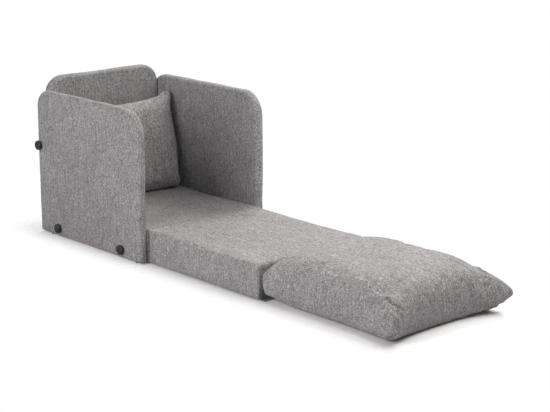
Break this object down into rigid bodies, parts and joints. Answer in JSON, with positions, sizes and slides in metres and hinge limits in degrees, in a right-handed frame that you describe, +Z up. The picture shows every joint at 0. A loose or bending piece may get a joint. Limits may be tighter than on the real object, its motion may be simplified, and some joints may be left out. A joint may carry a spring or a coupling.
{
  "type": "convertible chair bed",
  "caption": "Upholstered armchair with flat padded arms and back whose folding mattress opens forward into a low single bed, with a loose back pillow.",
  "frame": {"origin": "on the floor at the middle of the bounding box of the unfolded bed", "axes": "+X to the right across the chair as seen from its front, where left and right in the node names are meant too; +Y from the foot of the bed to the back of the chair; +Z up"},
  "size_m": [0.737, 2.1402, 0.704],
  "materials": {
    "woven_grey": "matte heathered upholstery weave",
    "foam": "matte open-cell foam",
    "fibre_fill": "matte fibre filling",
    "frame_wood": "satin planed softwood and plywood",
    "lining_fabric": "matte non-woven dust cover",
    "hinge_fabric": "matte woven webbing",
    "zip_tape": "matte zip tape and coil",
    "slider_metal": "satin slider",
    "glide_plastic": "matte",
    "knob_plastic": "matte moulded",
    "zinc_steel": "satin zinc plate"
  },
  "bodies": {
    "chair": {"back_board": "frame_wood", "back_cover": "woven_grey", "back_dowels": "frame_wood", "back_foam": "foam", "back_glides": "glide_plastic", "base_cover": "woven_grey", "base_deck": "frame_wood", "base_foam": "foam", "base_front_rail": "frame_wood", "base_glides": "glide_plastic", "base_left_rail": "frame_wood", "base_lining": "lining_fabric", "base_rear_rail": "frame_wood", "base_right_rail": "frame_wood", "insert_nuts": "zinc_steel", "knob_washers": "zinc_steel", "left_arm_board": "frame_wood", "left_arm_cover": "woven_grey", "left_arm_foam": "foam", "left_arm_glides": "glide_plastic", "right_arm_board": "frame_wood", "right_arm_cover": "woven_grey", "right_arm_foam": "foam", "right_arm_glides": "glide_plastic", "seat_hinge_rear_leaf": "hinge_fabric"},
    "middle_section": {"foot_hinge_rear_leaf": "hinge_fabric", "middle_cover": "woven_grey", "middle_deck": "frame_wood", "middle_foam": "foam", "middle_front_rail": "frame_wood", "middle_glides": "glide_plastic", "middle_left_rail": "frame_wood", "middle_lining": "lining_fabric", "middle_rear_rail": "frame_wood", "middle_right_rail": "frame_wood", "seat_hinge_front_leaf": "hinge_fabric"},
    "foot_cushion": {"foot_core": "foam", "foot_cover": "woven_grey", "foot_hinge_front_leaf": "hinge_fabric", "foot_zip": "zip_tape", "foot_zip_slider": "slider_metal"},
    "back_pillow": {"pillow_cover": "woven_grey", "pillow_filling": "fibre_fill", "pillow_zip": "zip_tape", "pillow_zip_slider": "slider_metal"},
    "left_front_clamp": {"left_front_knob": "knob_plastic", "left_front_stud": "zinc_steel"},
    "left_rear_clamp": {"left_rear_knob": "knob_plastic", "left_rear_stud": "zinc_steel"},
    "left_upper_clamp": {"left_upper_knob": "knob_plastic", "left_upper_stud": "zinc_steel"},
    "right_front_clamp": {"right_front_knob": "knob_plastic", "right_front_stud": "zinc_steel"},
    "right_rear_clamp": {"right_rear_knob": "knob_plastic", "right_rear_stud": "zinc_steel"},
    "right_upper_clamp": {"right_upper_knob": "knob_plastic", "right_upper_stud": "zinc_steel"}
  },
  "joints": [
    {"name": "fold", "type": "hinge", "parent": "chair", "child": "middle_section", "pos_m": [0, 0.33008, 0.15015], "axis": [-1, 0, 0], "range_deg": [0, 180]},
    {"name": "foot_fold", "type": "hinge", "parent": "middle_section", "child": "foot_cushion", "pos_m": [0, -0.35992, -0.00015], "axis": [1, 0, 0], "range_deg": [0, 180]},
    {"name": "pillow_shift", "type": "slide", "parent": "foot_cushion", "child": "back_pillow", "axis": [0, -0.9995, 0.031], "range_m": [0, 1.4508]},
    {"name": "left_front_knob_turn", "type": "hinge", "parent": "chair", "child": "left_front_clamp", "pos_m": [-0.3515, 0.45508, 0.046], "axis": [-1, 0, 0], "continuous": true},
    {"name": "left_rear_knob_turn", "type": "hinge", "parent": "chair", "child": "left_rear_clamp", "pos_m": [-0.3515, 0.91807, 0.046], "axis": [-1, 0, 0], "continuous": true},
    {"name": "left_upper_knob_turn", "type": "hinge", "parent": "chair", "child": "left_upper_clamp", "pos_m": [-0.3515, 1.04708, 0.405], "axis": [-1, 0, 0], "continuous": true},
    {"name": "right_front_knob_turn", "type": "hinge", "parent": "chair", "child": "right_front_clamp", "pos_m": [0.3515, 0.45508, 0.046], "axis": [1, 0, 0], "continuous": true},
    {"name": "right_rear_knob_turn", "type": "hinge", "parent": "chair", "child": "right_rear_clamp", "pos_m": [0.3515, 0.91807, 0.046], "axis": [1, 0, 0], "continuous": true},
    {"name": "right_upper_knob_turn", "type": "hinge", "parent": "chair", "child": "right_upper_clamp", "pos_m": [0.3515, 1.04708, 0.405], "axis": [1, 0, 0], "continuous": true}
  ],
  "couplings": [
    {"joint": "foot_fold", "follows": "fold", "ratio": 1},
    {"joint": "pillow_shift", "follows": "fold", "m_per_rad": 0.46177}
  ]
}
